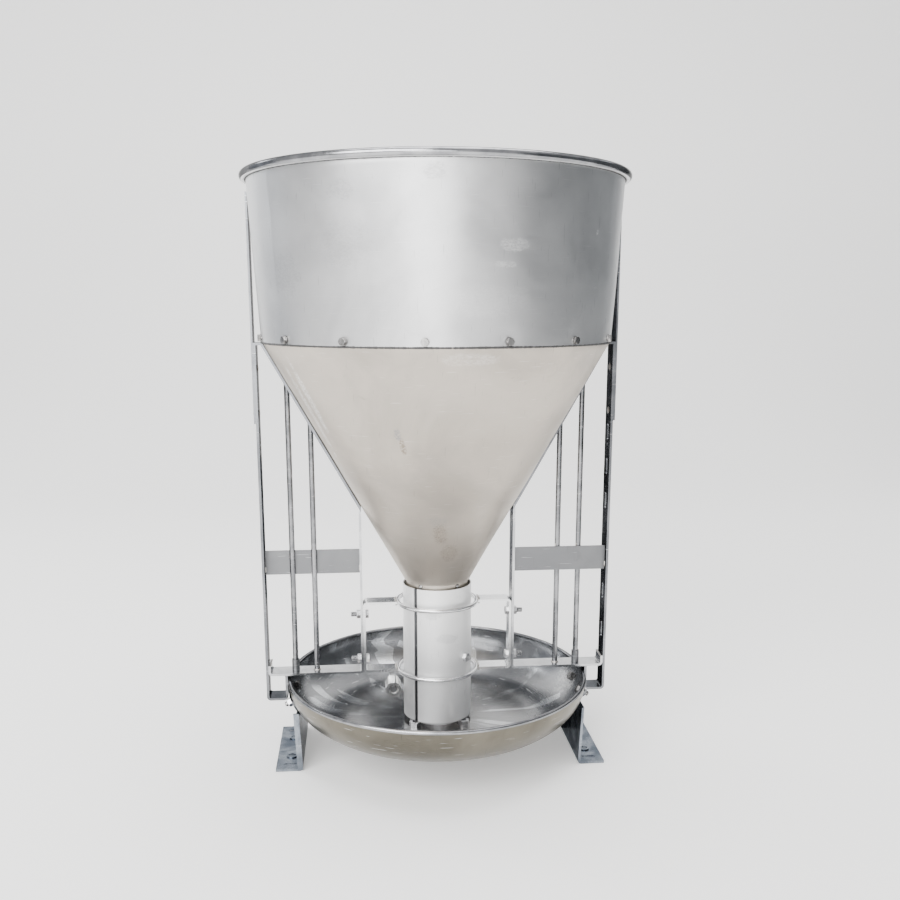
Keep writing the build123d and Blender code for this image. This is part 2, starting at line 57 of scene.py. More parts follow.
BAND_OUT, BAND_LOW, BAND_TOP = span("hopper_band")
CONE_OUT, COLLAR_LOW, UPSTAND_TOP = span("hopper_cone")
PAN_OUT, PAN_LOW, PAN_TOP = span("trough_pan")
NECK_R = span("hopper_neck")[0]
TUBE_LOW = span("drop_tube")[1]

SHEET = 0.0015                              # hopper sheet
RIM_Z = middle_z("hopper_rim_wire")
BEAD_R = BAND_TOP - RIM_Z                   # rolled rim of the hopper, round its wire
BEAD_C = BAND_OUT - BEAD_R
BAND_TOP_R = BEAD_C - 0.0042                # band wall where the rolled rim closes
SEAM_R = CONE_OUT + 0.0016                  # band wall lapped over the cone's upstand

PAN_SHEET = 0.002
PAN_RIM_Z = middle_z("trough_rim_wire")
PAN_BEAD = PAN_TOP - PAN_RIM_Z              # rolled rim of the trough
PAN_BEAD_C = PAN_OUT - PAN_BEAD
PAN_R = PAN_BEAD_C + 0.0025                 # dish wall just under its rim
PAN_FLAT = 0.150                            # radius of the dish's flat bottom


# ---------------------------------------------------------------- shader building blocks
def node(tree, kind, **inputs):
    """New shader node; an underscore in an input's name stands for a space."""
    made = tree.nodes.new(kind)
    for key, value in inputs.items():
        made.inputs[key.replace("_", " ")].default_value = value
    return made


def wire(tree, source, target):
    tree.links.new(source, target)


def is_socket(value):
    return hasattr(value, "is_linked")


def feed(tree, value, target):
    """Link a socket, or set a plain value."""
    if is_socket(value):
        wire(tree, value, target)
    else:
        target.default_value = value


def maths(tree, operation, a, b=0.0):
    made = tree.nodes.new("ShaderNodeMath")
    made.operation = operation
    feed(tree, a, made.inputs[0])
    feed(tree, b, made.inputs[1])
    return made.outputs[0]


def times(tree, a, b):
    return maths(tree, "MULTIPLY", a, b)


def add(tree, *values):
    total = values[0]
    for value in values[1:]:
        total = maths(tree, "ADD", total, value)
    return total


def ramp(tree, source, low, high, a=0.0, b=1.0):
    """Value that goes from a to b as the source goes from low to high."""
    made = tree.nodes.new("ShaderNodeMapRange")
    made.interpolation_type = "SMOOTHSTEP"
    wire(tree, source, made.inputs[0])
    for index, value in enumerate((low, high, a, b)):
        made.inputs[index + 1].default_value = value
    return made.outputs[0]


def mix(tree, factor, a, b):
    """Colour that goes from a to b as the factor goes from 0 to 1."""
    made = tree.nodes.new("ShaderNodeMix")
    made.data_type = "RGBA"
    feed(tree, factor, made.inputs[0])
    for value, target in ((a, made.inputs[6]), (b, made.inputs[7])):
        feed(tree, value if is_socket(value) else (*value, 1.0), target)
    return made.outputs[2]


def coords(tree, scale=(1, 1, 1), turn=(0, 0, 0)):
    where = tree.nodes.new("ShaderNodeTexCoord")
    mapping = tree.nodes.new("ShaderNodeMapping")
    mapping.inputs["Scale"].default_value = scale
    mapping.inputs["Rotation"].default_value = turn
    wire(tree, where.outputs["Object"], mapping.inputs["Vector"])
    return mapping.outputs["Vector"]


def noise_at(tree, vector, scale, detail=3.0, rough=0.55, distort=0.0):
    made = node(tree, "ShaderNodeTexNoise", Scale=scale, Detail=detail, Roughness=rough,
                Distortion=distort)
    wire(tree, vector, made.inputs["Vector"])
    return made.outputs["Fac"]


def polar(tree):
    """(angle from the front, radius, height) sockets about the Z axis."""
    where = tree.nodes.new("ShaderNodeTexCoord")
    parts = tree.nodes.new("ShaderNodeSeparateXYZ")
    wire(tree, where.outputs["Object"], parts.inputs[0])
    x, y, z = parts.outputs
    angle = maths(tree, "ARCTAN2", x, times(tree, y, -1.0))
    radius = maths(tree, "SQRT", add(tree, times(tree, x, x), times(tree, y, y)))
    return angle, radius, z


def around(tree, u_scale, v_scale):
    """Coordinates wrapped round the axis, for grain that follows a rolled sheet."""
    angle, radius, height = polar(tree)
    made = tree.nodes.new("ShaderNodeCombineXYZ")
    wire(tree, times(tree, angle, u_scale), made.inputs[0])
    wire(tree, times(tree, height, v_scale), made.inputs[1])
    wire(tree, times(tree, radius, 2.0), made.inputs[2])
    return made.outputs[0]


def shader_material(name):
    """(material, its node tree, its Principled shader)."""
    made = bpy.data.materials.new(name)
    made.use_nodes = True
    return made, made.node_tree, made.node_tree.nodes["Principled BSDF"]


def matt(name, colour):
    """Plain matt material for the studio, not for the object."""
    made, _, shader = shader_material(name)
    shader.inputs["Base Color"].default_value = (*colour, 1)
    shader.inputs["Roughness"].default_value = 0.9
    return made


# ---------------------------------------------------------------- worn steel
WHITE = (0.93, 0.93, 0.92)
GREY = (0.30, 0.30, 0.31)
BROWN = (0.30, 0.25, 0.20)
BRIGHT_SCRATCH = (0.86, 0.86, 0.86)
THREAD_PITCH = 0.00125


def darker(colour, amount):
    return tuple(amount * channel for channel in colour)


def patch(tree, angle, height, size, wide):
    """Soft mark round a point on a turned surface, broken up by noise: 1 inside, 0 outside."""
    a, radius, z = polar(tree)
    along = times(tree, maths(tree, "SUBTRACT", a, math.radians(angle)), radius)
    along = maths(tree, "DIVIDE", along, size * wide)
    up = maths(tree, "DIVIDE", maths(tree, "SUBTRACT", z, height), size)
    away = add(tree, times(tree, along, along), times(tree, up, up))
    broken = noise_at(tree, coords(tree), 70.0, 6.0, 0.75)
    away = add(tree, away, times(tree, maths(tree, "SUBTRACT", broken, 0.5), 5.0))
    streak = ramp(tree, noise_at(tree, around(tree, 60.0, 420.0), 1.0, 4.0, 0.7), 0.36, 0.60)
    return times(tree, ramp(tree, away, 1.6, 0.4), streak)


def sheet_grain(tree, grain):
    """(fine grain, broader strokes): round the axis, down the sheet, or along a flat bar."""
    if grain == "round":
        return (noise_at(tree, around(tree, 6.0, 900.0), 1.0, 3.0, 0.6),
                noise_at(tree, around(tree, 5.0, 260.0), 1.0, 2.0, 0.5))
    if grain == "down":
        return (noise_at(tree, around(tree, 240.0, 5.0), 1.0, 3.0, 0.6),
                noise_at(tree, around(tree, 120.0, 4.0), 1.0, 2.0, 0.5))
    return (noise_at(tree, coords(tree, (900, 900, 14)), 1.0, 3.0, 0.6),
            noise_at(tree, coords(tree, (220, 220, 9), (0.1, 0.2, 0.0)), 1.0, 2.0, 0.5))


def scratches(tree, stretch, turn, start, amount):
    """Long thin marks where a stretched noise passes the value start."""
    lines = noise_at(tree, coords(tree, stretch, turn), 1.0, 1.0, 0.4)
    return times(tree, ramp(tree, lines, start, start + 0.05), amount)


def painted_facet_highlights(tree, clouds, pitch, strength):
    """Painted highlights: patches where a hammered dish happens to catch the light."""
    cells = node(tree, "ShaderNodeTexVoronoi", Scale=1.0, Randomness=1.0)
    wire(tree, around(tree, pitch, pitch * 4.0), cells.inputs["Vector"])
    cell = tree.nodes.new("ShaderNodeSeparateColor")
    wire(tree, cells.outputs["Color"], cell.inputs[0])
    painted_highlight = times(tree, ramp(tree, cell.outputs[0], 0.62, 0.80), strength)
    return times(tree, painted_highlight, ramp(tree, clouds, 0.42, 0.56))


def thread_grooves(tree, start, below):
    """Bump of a screw thread that starts at that radius, over the bump below it."""
    _, radius, _ = polar(tree)
    wave = maths(tree, "SINE", times(tree, radius, TAU / THREAD_PITCH))
    wave = times(tree, wave, ramp(tree, radius, start, start + 0.0003))
    made = node(tree, "ShaderNodeBump", Strength=1.0, Distance=0.0005)
    wire(tree, wave, made.inputs["Height"])
    wire(tree, below.outputs[0], made.inputs["Normal"])
    return made


def metal(name, light, dark, rough, grain="flat", cloud=5.0, scuff=0.5, bump=0.10, edge=1.0,
          marks=(), shade_and_stain=None, facet_highlights=None, thread_start=None):
    """Worn stainless: cloudy tone, rolled grain, fine scratches, smudges and handling marks.

    marks: (angle from the front in degrees, height, size, width over height, strength, colour).
    shade_and_stain: (full below this height, gone above this height, colour, strength): darker towards the
    bottom, painted shade on the cone, tube and trough outside, a stain on the trough floor.
    facet_highlights: (cells per radian, strength, colour), painted highlights. thread_start: radius where a
    screw thread begins.
    edge: how bright the metal is at grazing angles.
    """
    made, tree, shader = shader_material(name)
    shader.inputs["Metallic"].default_value = 1.0
    shader.inputs["Specular Tint"].default_value = (edge, edge, edge, 1.0)
    base = coords(tree)
    clouds = noise_at(tree, base, cloud, 4.0, 0.55, 0.6)
    fine = noise_at(tree, base, 38.0, 5.0, 0.65)
    lay, stroke = sheet_grain(tree, grain)
    tone = add(tree, times(tree, ramp(tree, clouds, 0.36, 0.66), 0.62),
               times(tree, fine, 0.24), times(tree, lay, 0.14))
    colour = mix(tree, tone, dark, light)

    scratch = scratches(tree, (30, 30, 700), (0.7, 0.3, 0.2), 0.71, scuff)
    scratch_across = scratches(tree, (650, 24, 40), (0.2, 0.9, 0.5), 0.72, scuff)
    colour = mix(tree, scratch, colour, BRIGHT_SCRATCH)
    colour = mix(tree, scratch_across, colour, darker(dark, 0.45))
    grime = times(tree, ramp(tree, noise_at(tree, base, 17.0, 6.0, 0.7, 1.2), 0.60, 0.78), 0.35)
    colour = mix(tree, grime, colour, darker(dark, 0.62))
    dull = grime
    # Painted highlights on the facets of a hammered dish.
    if facet_highlights:
        pitch, strength, bright = facet_highlights
        colour = mix(tree, painted_facet_highlights(tree, clouds, pitch, strength), colour, bright)
    for angle, height, size, wide, strength, tint in marks:
        spot = times(tree, patch(tree, angle, height, size, wide), strength)
        colour = mix(tree, spot, colour, tint)
        dull = add(tree, dull, times(tree, spot, 0.4))
    # Darker towards the bottom: painted shade on the cone, the tube's foot and the trough's outside; on the
    # trough's floor a stain.
    if shade_and_stain:
        low, high, tint, strength = shade_and_stain
        _, _, z = polar(tree)
        wander = times(tree, noise_at(tree, base, 20.0, 3.0), min(0.03, high - low))
        shade_and_stain_film = times(tree, ramp(tree, add(tree, z, wander), high, low), strength)
        colour = mix(tree, shade_and_stain_film, colour, tint)
    wire(tree, colour, shader.inputs["Base Color"])

    level = add(tree, times(tree, clouds, 0.16), times(tree, lay, 0.12), times(tree, dull, 0.30),
                rough - 0.14)
    wire(tree, level, shader.inputs["Roughness"])
    relief = add(tree, times(tree, lay, 0.35), times(tree, stroke, 0.25), times(tree, fine, 0.5),
                 times(tree, scratch, -1.2))
    surface = node(tree, "ShaderNodeBump", Strength=bump, Distance=0.0006)
    wire(tree, relief, surface.inputs["Height"])
    if thread_start:
        surface = thread_grooves(tree, thread_start, surface)
    wire(tree, surface.outputs[0], shader.inputs["Normal"])
    return made


def rubber(name):
    made, tree, shader = shader_material(name)
    speck = noise_at(tree, coords(tree), 900.0, 3.0)
    wire(tree, mix(tree, speck, (0.02, 0.02, 0.022), (0.06, 0.058, 0.055)), shader.inputs["Base Color"])
    shader.inputs["Roughness"].default_value = 0.62
    surface = node(tree, "ShaderNodeBump", Strength=0.3, Distance=0.0002)
    wire(tree, speck, surface.inputs["Height"])
    wire(tree, surface.outputs[0], shader.inputs["Normal"])
    return made


# Hopper, tube and neck.
band_metal = metal(
    "band_steel", (0.73, 0.73, 0.73), (0.52, 0.522, 0.526), 0.36, "round", cloud=4.6, scuff=0.30,
    bump=0.08, marks=(
        (-4.7, 0.928, 0.010, 1.8, 0.40, GREY), (-30.3, 0.907, 0.012, 1.6, 0.35, GREY),
        (17.0, 0.837, 0.009, 2.0, 0.6, WHITE), (14.5, 0.812, 0.004, 4.0, 0.5, WHITE),
        (47.8, 0.860, 0.0035, 1.0, 0.9, WHITE), (-29.5, 0.84, 0.03, 1.2, 0.25, GREY),
        (10.0, 0.765, 0.02, 3.0, 0.2, WHITE), (-52.0, 0.80, 0.03, 1.0, 0.25, GREY),
        (150.0, 0.83, 0.03, 1.5, 0.3, GREY), (-120.0, 0.77, 0.02, 2.5, 0.3, WHITE)))
# Cone: the darker band towards its foot is painted shade.
cone_metal = metal(
    "cone_steel", (0.58, 0.525, 0.455), (0.39, 0.35, 0.305), 0.42, "round", cloud=5.5, scuff=0.28,
    bump=0.08, shade_and_stain=(0.30, 0.37, (0.46, 0.42, 0.36), 0.35), marks=(
        (-19.1, 0.556, 0.012, 0.35, 0.95, BROWN), (-20.5, 0.575, 0.008, 0.7, 0.7, GREY),
        (-2.0, 0.406, 0.018, 0.6, 0.80, BROWN), (8.0, 0.372, 0.014, 1.0, 0.65, BROWN),
        (-4.0, 0.43, 0.010, 1.5, 0.30, GREY), (5.3, 0.686, 0.008, 5.0, 0.25, WHITE),
        (-60.0, 0.62, 0.05, 0.16, 0.55, WHITE), (-66.0, 0.60, 0.07, 0.10, 0.55, WHITE),
        (140.0, 0.52, 0.03, 1.0, 0.3, GREY)))
# Tube: the dark band at its foot is painted shade.
tube_metal = metal(
    "tube_steel", (0.99, 0.99, 0.98), (0.90, 0.90, 0.90), 0.56, "down", cloud=8.0, scuff=0.30,
    bump=0.08, shade_and_stain=(TUBE_LOW, TUBE_LOW + 0.006, (0.16, 0.15, 0.14), 0.7), marks=(
        (12.0, 0.215, 0.008, 2.2, 0.3, GREY), (-12.0, 0.255, 0.006, 2.0, 0.35, GREY),
        (19.0, 0.096, 0.010, 0.5, 0.9, WHITE), (21.0, 0.083, 0.006, 0.7, 0.9, WHITE)))
# Dark steel on the strip seen through the tube's slit: painted shade inside the tube.
slit_metal_painted_shade = metal("slit_steel_painted_shade", (0.11, 0.11, 0.115), (0.06, 0.06, 0.065), 0.42, "down", cloud=9.0)
neck_metal = metal("neck_steel", (0.60, 0.60, 0.61), (0.42, 0.42, 0.43), 0.42, "round", cloud=9.0)

# Trough.
# Trough outside: the darker band towards the bottom is painted shade.
trough_out = metal(
    "trough_outer_steel", (0.195, 0.178, 0.142), (0.095, 0.087, 0.07), 0.30, "round", cloud=7.0,
    scuff=0.45, bump=0.14, shade_and_stain=(0.056, 0.085, (0.13, 0.12, 0.10), 0.6))
# Trough inside: its dark slate tone is painted shade, the dark reflection inside the dish, with painted
# highlights on the facets and a stain on the floor.
trough_inside_painted_shade = metal(
    "trough_inner_steel_painted_shade", (0.36, 0.365, 0.375), (0.18, 0.184, 0.192), 0.24, "round", cloud=9.0,
    bump=0.22, shade_and_stain=(0.055, 0.072, (0.26, 0.24, 0.21), 0.45), facet_highlights=(10.0, 0.75, (0.74, 0.76, 0.78)),
    marks=(
        (30.0, 0.075, 0.02, 2.0, 0.3, BROWN), (-70.0, 0.085, 0.02, 1.8, 0.3, BROWN),
        (100.0, 0.10, 0.02, 1.5, 0.3, WHITE)))
# Rolled rims: a darker copy of the steel, painted shade on the hopper's rolled rim.
rim_metal_painted_shade = metal("rim_steel_painted_shade", (0.42, 0.42, 0.43), (0.20, 0.205, 0.215), 0.18, cloud=20.0, scuff=0.4,
                  edge=0.3)

# Bars, rods, brackets and rings.
flat_metal = metal("flat_steel", (0.27, 0.277, 0.29), (0.13, 0.135, 0.145), 0.24, cloud=14.0,
                   bump=0.14, edge=0.15)
plate_metal = metal("plate_steel", (0.225, 0.228, 0.232), (0.18, 0.183, 0.19), 0.45, cloud=10.0,
                    scuff=0.35)
rod_metal = metal("rod_steel", (0.38, 0.38, 0.39), (0.15, 0.154, 0.162), 0.26, cloud=30.0, bump=0.2,
                  edge=0.2)
frame_metal = metal("frame_steel", (0.66, 0.665, 0.675), (0.40, 0.407, 0.42), 0.24, cloud=22.0,
                    bump=0.14, edge=0.75)
arm_metal = metal("arm_steel", (0.92, 0.92, 0.92), (0.74, 0.75, 0.76), 0.26, cloud=22.0, bump=0.14)
ring_metal = metal("ring_steel", (0.93, 0.93, 0.93), (0.76, 0.76, 0.77), 0.24, cloud=30.0, scuff=0.4)
zinc_metal = metal("zinc_leg", (0.34, 0.37, 0.41), (0.085, 0.10, 0.125), 0.26, cloud=26.0, bump=0.25,
                   edge=0.3)

# Welds, bolts and nuts.
weld_metal = metal("weld_steel", (0.74, 0.73, 0.71), (0.34, 0.31, 0.28), 0.34, cloud=120.0, scuff=0.4,
                   bump=0.5)
bolt_metal = metal("bolt_steel", (0.46, 0.45, 0.44), (0.20, 0.195, 0.19), 0.28, cloud=60.0, scuff=0.4,
                   bump=0.15, edge=0.4)
nut_metal = metal("nut_steel", (0.78, 0.78, 0.79), (0.46, 0.46, 0.47), 0.28, cloud=70.0, scuff=0.4,
                  bump=0.15)
bracket_bolt_metal = metal("bracket_bolt_steel", (0.8, 0.8, 0.8), (0.5, 0.5, 0.51), 0.28, cloud=60.0,
                           scuff=0.4, bump=0.15, thread_start=0.1312)
stop_bolt_metal = metal("stop_bolt_steel", (0.8, 0.8, 0.8), (0.5, 0.5, 0.51), 0.28, cloud=60.0,
                        scuff=0.4, bump=0.15, thread_start=0.0583)

# Nipple.
nipple_metal = metal("nipple_steel", (0.88, 0.88, 0.87), (0.66, 0.66, 0.65), 0.24, cloud=60.0, scuff=0.3)
pin_metal = metal("pin_steel", (0.50, 0.50, 0.51), (0.34, 0.34, 0.35), 0.30, cloud=60.0, scuff=0.3)
# Dark rubber, for the nipple's seal and for the rings of painted shade under the hopper's rim and seam.
seal_rubber = rubber("seal_rubber")


# ---------------------------------------------------------------- mesh building blocks
def mesh_object(name, verts, faces, material, sharp=35.0):
    data = bpy.data.meshes.new(name)
    data.from_pydata(verts, [], faces)
    data.update()
    data.materials.append(material)
    for polygon in data.polygons:
        polygon.use_smooth = True
    data.set_sharp_from_angle(angle=math.radians(sharp))
    made = bpy.data.objects.new(name, data)
    bpy.context.scene.collection.objects.link(made)
    return made


def finer(points, step):
    """The same open line with points added so that none are further apart than step."""
    out = [points[0]]
    for (r0, z0), (r1, z1) in zip(points, points[1:]):
        count = max(1, math.ceil(math.hypot(r1 - r0, z1 - z0) / step))
        for k in range(1, count + 1):
            out.append((r0 + (r1 - r0) * k / count, z0 + (z1 - z0) * k / count))
    return out


def arc(r, z, radius, start, stop, count):
    """Points of an arc round (r, z), by its angles in degrees."""
    angles = [math.radians(start + (stop - start) * k / count) for k in range(count + 1)]
    return [(r + radius * math.cos(angle), z + radius * math.sin(angle)) for angle in angles]


def hoop(radius, z, count):
    """Closed line of points round the Z axis, from the front."""
    return [(radius * math.sin(TAU * k / count), -radius * math.cos(TAU * k / count), z)
            for k in range(count + 1)]


def lathe(name, outline, material, segments, warp, sharp=35.0, body="frame"):
    """Closed outline of (radius, z) turned about Z; warp(angle, r, z) moves a point outwards."""
    verts = []
    faces = []
    count = len(outline)
    for i in range(segments):
        angle = TAU * i / segments
        for r, z in outline:
            out = r + warp(angle, r, z)
            verts.append((out * math.sin(angle), -out * math.cos(angle), z))
    for i in range(segments):
        j = (i + 1) % segments
        for k in range(count):
            m = (k + 1) % count
            faces.append((i * count + k, j * count + k, j * count + m, i * count + m))
    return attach(mesh_object(name, verts, faces, material, sharp), body)


def wobble(angle, z, scale, seed):
    """Smooth noise on a turned sheet, the same each run."""
    point = Vector((math.sin(angle) * scale, math.cos(angle) * scale, z * scale * 3.4 + seed))
    return noise.noise(point)


WELD_SIDES = 9
WELD_STEP = 0.0012
WELD_UNEVEN = 0.35
WELD_RIPPLE = 0.10
WELD_END = 0.35                             # a bead's ends are this much of its radius


def weld_bead(points, radius, seed):
    """Verts and faces of one uneven weld bead along its points."""
    verts = []
    faces = []
    total = len(points)
    for i, point in enumerate(points):
        along = (points[min(i + 1, total - 1)] - points[max(i - 1, 0)]).normalized()
        if abs(along.z) > 0.9:
            across = along.orthogonal().normalized()
        else:
            across = along.cross(Vector((0, 0, 1))).normalized()
        up = across.cross(along)
        size = radius * (1 + WELD_UNEVEN * noise.noise(point * 420 + Vector((seed, 0, 0))))
        size *= 1 + WELD_RIPPLE * math.sin(i * 2.4)
        if i in (0, total - 1):
            size *= WELD_END
        for k in range(WELD_SIDES):
            turn = TAU * k / WELD_SIDES
            verts.append(point + across * math.cos(turn) * size + up * math.sin(turn) * size)
    for i in range(total - 1):
        start = i * WELD_SIDES
        for k in range(WELD_SIDES):
            m = (k + 1) % WELD_SIDES
            faces.append((start + k, start + WELD_SIDES + k, start + WELD_SIDES + m, start + m))
    faces.append(tuple(range(WELD_SIDES))[::-1])
    faces.append(tuple((total - 1) * WELD_SIDES + k for k in range(WELD_SIDES)))
    return verts, faces


def beads(name, lines, radius, body, material=weld_metal):
    """Several beads as one piece; each line is a list of 3-D points."""
    verts = []
    faces = []
    for number, line in enumerate(lines):
        corners = [Vector(point) for point in line]
        points = []
        for a, b in zip(corners, corners[1:]):
            steps = max(2, int((b - a).length / WELD_STEP))
            points += [a.lerp(b, k / steps) for k in range(steps)]
        points.append(corners[-1])
        bead_verts, bead_faces = weld_bead(points, radius, number * 3.1)
        faces += [tuple(index + len(verts) for index in face) for face in bead_faces]
        verts += bead_verts
    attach(mesh_object(name, verts, faces, material, 80.0), body)


# ---------------------------------------------------------------- hopper band
BOLT_Z = middle_z("seam_bolts")
FIRST_BOLT = math.radians(-7.6)
BOLT_STEP = math.radians(24)
LAP_SEAM = math.radians(38.5)               # where the band's rolled sheet overlaps itself
LAP_RISE = 0.0008
BOLT_DENT = 0.0007


def near_bolt(angle):
    """Distance round the seam, in radians, to the nearest seam bolt."""
    return abs((angle - FIRST_BOLT + BOLT_STEP / 2) % BOLT_STEP - BOLT_STEP / 2)


def band_warp(angle, r, z):
    """Uneven sheet, drawn in at each bolt, with a step at the lap seam; calm at the rim."""
    share = (z - BAND_LOW) / (RIM_Z - BAND_LOW)
    calm = 1 - min(1, max(0, share)) ** 6
    out = 0.0011 * calm * wobble(angle, z, 2.1, 3.0) + 0.00035 * calm * wobble(angle, z, 6.0, 9.0)
    out -= BOLT_DENT * math.exp(-(near_bolt(angle) * r / 0.016) ** 2 - ((z - BOLT_Z) / 0.014) ** 2)
    past = (angle - LAP_SEAM + math.pi) % TAU - math.pi
    fade = math.exp(-(max(0, past) * r / 0.05) ** 2)
    return out + LAP_RISE * calm / (1 + math.exp(-past * r / 0.0016)) * fade


wall_out = finer([(SEAM_R, BAND_LOW + 0.0003), (BAND_TOP_R, RIM_Z - 0.0045)], 0.009)
rolled_rim = arc(BEAD_C, RIM_Z, BEAD_R, 225, 508, 26)
wall_in = finer([(BAND_TOP_R - SHEET, RIM_Z - 0.001), (SEAM_R - SHEET, BAND_LOW + 0.0003)], 0.012)
band = lathe("hopper_band_sheet", wall_out + rolled_rim + wall_in, band_metal, 420, band_warp)
# The rolled rim takes the darker steel: painted shade.
band.data.materials.append(rim_metal_painted_shade)
for polygon in band.data.polygons:
    if polygon.center.z > RIM_Z - 0.0052:
        polygon.material_index = 1
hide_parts("hopper_band")

# ---------------------------------------------------------------- hopper cone
SLOPE = 0.5617                              # radius gained per height
CONE_Z = COLLAR_LOW + 0.015                 # where the cone's slope would meet the collar
COLLAR_R = NECK_R + 0.0016
MOUTH_Z = COLLAR_LOW + 0.0225               # lip where the cone stands over its collar
MOUTH_R = COLLAR_R + SLOPE * (MOUTH_Z - CONE_Z)
KNEE_Z = CONE_Z + (CONE_OUT - COLLAR_R) / SLOPE


def cone_warp(angle, r, z):
    """Uneven sheet, calm near the lip and the knee."""
    if z < MOUTH_Z + 0.004 or z > BAND_LOW + 0.001:
        return 0.0
    calm = min(1, (z - MOUTH_Z) / 0.05) * min(1, (BAND_LOW - z) / 0.03)
    uneven = 0.0010 * wobble(angle, z, 1.9, 31.0) + 0.0004 * wobble(angle, z, 5.0, 47.0)
    return calm * uneven - 0.0006 * calm


CONE_IN = CONE_OUT - SHEET
cone_line = finer([(COLLAR_R, COLLAR_LOW), (COLLAR_R, MOUTH_Z - 0.0016)], 0.005)
cone_line += [(MOUTH_R - 0.0012, MOUTH_Z - 0.0016), (MOUTH_R - 0.0002, MOUTH_Z - 0.0008)]
cone_line += finer([(MOUTH_R, MOUTH_Z + 0.0004), (CONE_OUT - 0.0004, KNEE_Z - 0.0008)], 0.010)
cone_line += finer([(CONE_OUT, KNEE_Z + 0.001), (CONE_OUT, UPSTAND_TOP)], 0.008)
cone_line += finer([(CONE_IN, UPSTAND_TOP), (CONE_IN, KNEE_Z + 0.001)], 0.008)
cone_line += finer([(CONE_IN - 0.0006, KNEE_Z - 0.0006), (MOUTH_R - 0.001, MOUTH_Z + 0.0022)], 0.012)
cone_line += [(COLLAR_R - SHEET, MOUTH_Z), (COLLAR_R - SHEET, COLLAR_LOW)]
cone = lathe("hopper_cone_sheet", cone_line, cone_metal, 420, cone_warp, sharp=28.0)
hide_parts("hopper_cone")

# Painted shade: a dark ring under the rolled rim, where it closes on the band. Weld round the collar. A
# dark ring under the seam: painted shade in the lap, and dirt.
beads("rim_painted_shade_ring", [hoop(BAND_TOP_R + 0.0008, RIM_Z - 0.0046, 240)], 0.0017, "frame", seal_rubber)
beads("weld_collar", [hoop(COLLAR_R, MOUTH_Z - 0.0016, 120)], 0.0009, "frame")
beads("seam_painted_shade_and_dirt", [hoop(SEAM_R - 0.0006, BAND_LOW - 0.0006, 240)], 0.0016, "frame", seal_rubber)

# Lap weld down the back of the cone.
BACK_WELD = math.radians(152)
back_weld = []
for k in range(41):
    z = MOUTH_Z + 0.004 + (BAND_LOW - 0.012 - MOUTH_Z) * k / 40
    r = COLLAR_R + SLOPE * (z - CONE_Z) - 0.0012
    back_weld.append((r * math.sin(BACK_WELD), -r * math.cos(BACK_WELD), z))
beads("weld_cone_back", [back_weld], 0.0016, "frame")

# ---------------------------------------------------------------- trough
RIM_FINISH, INSIDE_FINISH = 2, 1


def dish(offset, count):
    """Quarter ellipse from the flat bottom up to the rim, moved outwards by the offset."""
    out = []
    for k in range(count + 1):
        turn = math.radians(90 * k / count)
        out.append((PAN_FLAT + (PAN_R - PAN_FLAT + offset) * math.sin(turn),
                    PAN_RIM_Z - (PAN_RIM_Z - PAN_LOW + offset) * math.cos(turn)))
    return out


def pan_warp(angle, r, z):
    """Hammered unevenness, none at the rim or the middle."""
    if z > PAN_RIM_Z - 0.010 or r < 0.05:
        return 0.0
    calm = min(1, (PAN_RIM_Z - z) / 0.03)
    return calm * 0.0007 * wobble(angle, z, 4.0, 71.0)


FLOOR_Z = PAN_LOW + PAN_SHEET
outside = [(0.0005, PAN_LOW)] + finer([(0.02, PAN_LOW), (PAN_FLAT, PAN_LOW)], 0.02)
outside += dish(0.0, 40)[1:-1]
inside = dish(-PAN_SHEET, 40)[:-1][::-1]
inside += finer([(PAN_FLAT - 0.01, FLOOR_Z), (0.02, FLOOR_Z)], 0.02) + [(0.0005, FLOOR_Z)]
lip = arc(PAN_BEAD_C, PAN_RIM_Z, PAN_BEAD, -40, 230, 22)
pan = lathe("trough_pan_sheet", outside + lip + inside, trough_out, 400, pan_warp)
pan.data.materials.append(trough_inside_painted_shade)
pan.data.materials.append(rim_metal_painted_shade)
for polygon in pan.data.polygons:
    centre, normal = polygon.center, polygon.normal
    outward = normal.x * centre.x + normal.y * centre.y
    if centre.z > PAN_RIM_Z - 0.0026:
        polygon.material_index = RIM_FINISH
    elif normal.z * 0.6 - outward * 3 > 0:
        polygon.material_index = INSIDE_FINISH
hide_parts("trough_pan")

# ---------------------------------------------------------------- welds on the side panels and legs
ROD_R = 0.0045
ROD_WELD_R = 0.0052
BAR_THICK = 0.004
TAB_WELD_X = 0.2837                         # crossbar's end on the post
TAB_WELD_UP = 0.0143
TAB_WELD_HALF = 0.0165
FOOT_WELD_X = 0.2599                        # turned-up foot of the post
LEG_WELD_X = 0.2362
LEG_WELD_HALF = Vector((0, 0.007, 0))
PLATE_WELD = 0.010
SIDES = (("right", 1), ("left", -1))


def upright_weld(x, y, bottom):
    return [(x, y, bottom), (x, y, bottom + PLATE_WELD)]


